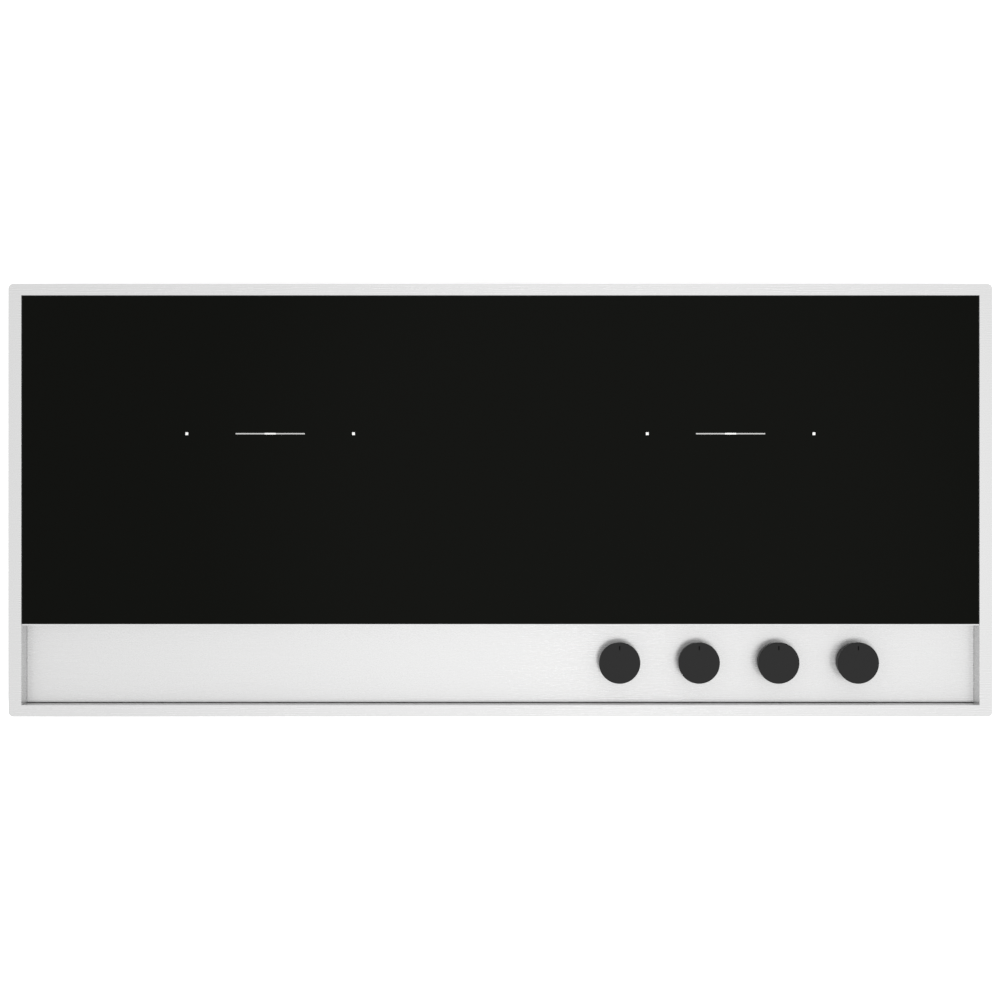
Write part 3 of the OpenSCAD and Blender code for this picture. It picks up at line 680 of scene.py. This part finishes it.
def build_winding(zone, material):
    """A flat coil of litz wire, wound as one spiral."""
    node = f"coil_winding_{zone}"
    low, high = box(node)
    thick = (high.z - low.z) / 2
    outer = (high.x - low.x) / 2 - thick
    inner = 22 * MM + thick
    turns = int((outer - inner) / (2 * thick))
    path = spiral((low + high) / 2, inner, outer, turns, (low.z + high.z) / 2)
    stand_for(wires(f"{node}_wound", [path], thick * 0.98, material), node)


def build_chokes(core, copper):
    """Ring cores, each with one layer of copper wire wound round it."""
    rings = bmesh.new()
    paths = []
    thick, turns, reach, tall = 0.6 * MM, 22, 3.1 * MM, 4.3 * MM
    for low, high in pieces_of("chokes"):
        centre = (low + high) / 2
        ring = (high.x - low.x) / 2 * 0.75
        half = (high.z - low.z) / 2 - 1.3 * MM
        inner, outer = ring - reach + thick, ring + reach - thick
        core_ring = turned([(inner, -half), (outer, -half), (outer, half), (inner, half), (inner, -half)])
        round_off(core_ring, 0.5 * MM)
        bmesh.ops.translate(core_ring, vec=centre, verts=core_ring.verts)
        draft = bpy.data.meshes.new("ring")
        core_ring.to_mesh(draft)
        core_ring.free()
        rings.from_mesh(draft)
        bpy.data.meshes.remove(draft)
        path = []
        steps = turns * 14
        for k in range(steps + 1):
            round_ring = math.tau * 0.9 * k / steps
            about = math.tau * turns * k / steps
            across, up = (math.copysign(abs(v) ** 0.6, v) for v in (math.cos(about), math.sin(about)))
            radius = ring + reach * across
            path.append((centre.x + radius * math.cos(round_ring), centre.y + radius * math.sin(round_ring),
                         centre.z + tall * up))
        paths.append(path)
    stand_for(as_object("choke_rings", rings, core), "chokes")
    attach(wires("choke_wire", paths, thick, copper), "case")


def build_transistors(plastic, metal):
    """Power transistors: a black body on three flat legs."""
    bodies, legs = bmesh.new(), bmesh.new()
    lift, pitch, wide, deep = 4.5 * MM, 5.4 * MM, 0.6 * MM, 0.3 * MM
    for low, high in pieces_of("power_transistors"):
        centre = (low + high) / 2
        block(bodies, (low.x, low.y, low.z + lift), high)
        for step in (-1, 0, 1):
            x = centre.x + step * pitch
            block(legs, (x - wide, centre.y - deep, low.z), (x + wide, centre.y + deep, low.z + lift))
    round_off(bodies, 0.4 * MM)
    stand_for(as_object("transistor_bodies", bodies, plastic), "power_transistors")
    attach(as_object("transistor_legs", legs, metal), "case")


def build_capacitor_tops(metal):
    """The bare aluminium top of each round capacitor, with its pressed cross."""
    tops = bmesh.new()
    widest = 20 * MM  # the box-shaped ones are wider
    for low, high in pieces_of("capacitors"):
        if high.x - low.x < widest:
            centre = (low + high) / 2
            disc(tops, centre, 7.6 * MM, high.z - 0.1 * MM, high.z + 0.1 * MM)
            for across, along in ((6 * MM, 0.3 * MM), (0.3 * MM, 6 * MM)):
                block(tops, (centre.x - across, centre.y - along, high.z),
                      (centre.x + across, centre.y + along, high.z + 0.25 * MM))
    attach(as_object("capacitor_tops", tops, metal), "case")


def dress_board(node, rows, first, last, plastic, metal):
    """Rows of small surface parts on a board: chips, and the solder at their ends."""
    centre = middle(node)
    top = box(node)[1].z
    chips, solder = bmesh.new(), bmesh.new()
    sizes = ((3.2, 1.6, 0.6), (5.0, 4.0, 1.6), (2.0, 1.2, 0.5), (7.0, 6.0, 1.4), (3.2, 1.6, 0.6), (4.6, 2.6, 2.1))
    for number, row in enumerate(rows):
        at, k = first + number * 2 * MM, number
        while at < last:
            wide, deep, tall = (v * MM for v in sizes[k % len(sizes)])
            x, y = centre.x + at, centre.y + row
            block(chips, (x - wide / 2, y - deep / 2, top), (x + wide / 2, y + deep / 2, top + tall))
            end = wide / 2 + 0.7 * MM
            block(solder, (x - end, y - deep * 0.4, top), (x + end, y + deep * 0.4, top + 0.15 * MM))
            at += wide + (6 + 3 * (k % 3)) * MM
            k += 1
    round_off(chips, 0.15 * MM, segments=1)
    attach(as_object(f"{node}_chips", chips, plastic), "case")
    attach(as_object(f"{node}_solder", solder, metal), "case")


def build_terminals(metal):
    """A clamp with a slotted screw in each chamber of the terminal block."""
    low, high = box("terminal_block")
    centre = (low + high) / 2
    y, foot, pitch = centre.y, low.z, 16 * MM
    clamps = bmesh.new()
    for pole in range(-2, 3):
        x = centre.x + pole * pitch
        block(clamps, (x - 3.4 * MM, y - 7 * MM, foot + 4 * MM), (x + 3.4 * MM, y + 7 * MM, foot + 10 * MM))
        disc(clamps, (x, y), 2.6 * MM, foot + 2.4 * MM, foot + 4 * MM)
        block(clamps, (x - 0.4 * MM, y - 2.2 * MM, foot + 2.2 * MM),
              (x + 0.4 * MM, y + 2.2 * MM, foot + 2.4 * MM))
    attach(as_object("terminal_clamps", clamps, metal), "case")


def build_data_plate(metal):
    """A blank foil plate on the tray's underside, where the maker's data would stand."""
    low, _ = box("bottom_tray")
    plate = bmesh.new()
    block(plate, (-45 * MM, -90 * MM, low.z - 0.12 * MM), (45 * MM, -40 * MM, low.z + 0.1 * MM))
    upright = [e for e in plate.edges if abs(e.verts[0].co.z - e.verts[1].co.z) > 0.1 * MM]
    bmesh.ops.bevel(plate, geom=upright, offset=3 * MM, segments=5, profile=0.5, affect="EDGES", material=-1)
    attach(as_object("data_plate", plate, metal), "case")


# How far each CAD node's edges are rounded, in millimetres
ROUNDED = {
    "trim_frame": 0.6, "control_panel": 0.3, "glass_top": 0.4, "glass_seal": 0.2, "glass_ledge": 0.3,
    "worktop_seal": 0.6, "bottom_tray": 0.25, "coil_decks": 0.3, "ferrite_bars": 0.5, "mica_sheets": 0.1,
    "temperature_sensors": 0.5, "power_board_left": 0.2, "power_board_right": 0.2, "heatsink_left": 0.3,
    "heatsink_right": 0.3, "capacitors": 0.9, "filter_board": 0.2, "control_board": 0.2,
    "terminal_block": 0.5, "terminal_cover": 0.4, "cable_gland": 0.4, "fan_housing_left": 0.4,
    "fan_housing_right": 0.4, "fan_impeller_left": 0.2, "fan_impeller_right": 0.2, "air_ducts": 0.4,
    "encoders": 0.5, "encoder_nuts": 0.3, "bush_seals": 0.2, "mounting_clips": 0.12, "internal_leads": 0.2,
}


def build_rounded(finishes):
    """The nodes whose CAD shape is right as it stands, but for its sharp edges."""
    widths = dict(ROUNDED)
    widths.update({f"coil_carrier_{zone}": 0.3 for zone in ZONES})
    widths.update({f"spindle_{number}": 0.25 for number in KNOBS})
    widths.update({f"rotor_{number}": 0.3 for number in KNOBS})
    for node, width in widths.items():
        softened(node, finishes[slot_of(node)], width * MM, 3 if width >= 0.4 else 2)


def main():
    finishes = build_finishes()
    paint_cad(finishes)
    stage()
    build_rounded(finishes)
    # Near-black fill for the index grooves: painted shade in the groove
    ink = lacquer("index_groove_painted_shade", "060606", "0A0A0A", 0.6)
    for number in KNOBS:
        build_knob(number, finishes["knob_black"], ink)
    build_marks(finishes)
    for zone in ZONES:
        build_winding(zone, finishes["copper_litz"])
    build_screws(finishes["plated_steel"])
    build_springs(finishes["spring_steel"])
    build_chokes(finishes["choke_core"], finishes["copper_litz"])
    build_transistors(finishes["black_plastic"], finishes["plated_steel"])
    build_capacitor_tops(finishes["aluminium_sheet"])
    chip_and_solder = finishes["black_plastic"], finishes["plated_steel"]
    power_rows = [row * MM for row in (-92, -46, 46, 92)]
    for side in SIDES:
        dress_board(f"power_board_{side}", power_rows, -104 * MM, 96 * MM, *chip_and_solder)
    dress_board("filter_board", [-44 * MM, -25 * MM, 32 * MM], -28 * MM, 26 * MM, *chip_and_solder)
    dress_board("control_board", [-19 * MM, 19 * MM], -168 * MM, 165 * MM, *chip_and_solder)
    build_terminals(finishes["plated_steel"])
    build_data_plate(finishes["aluminium_sheet"])


main()
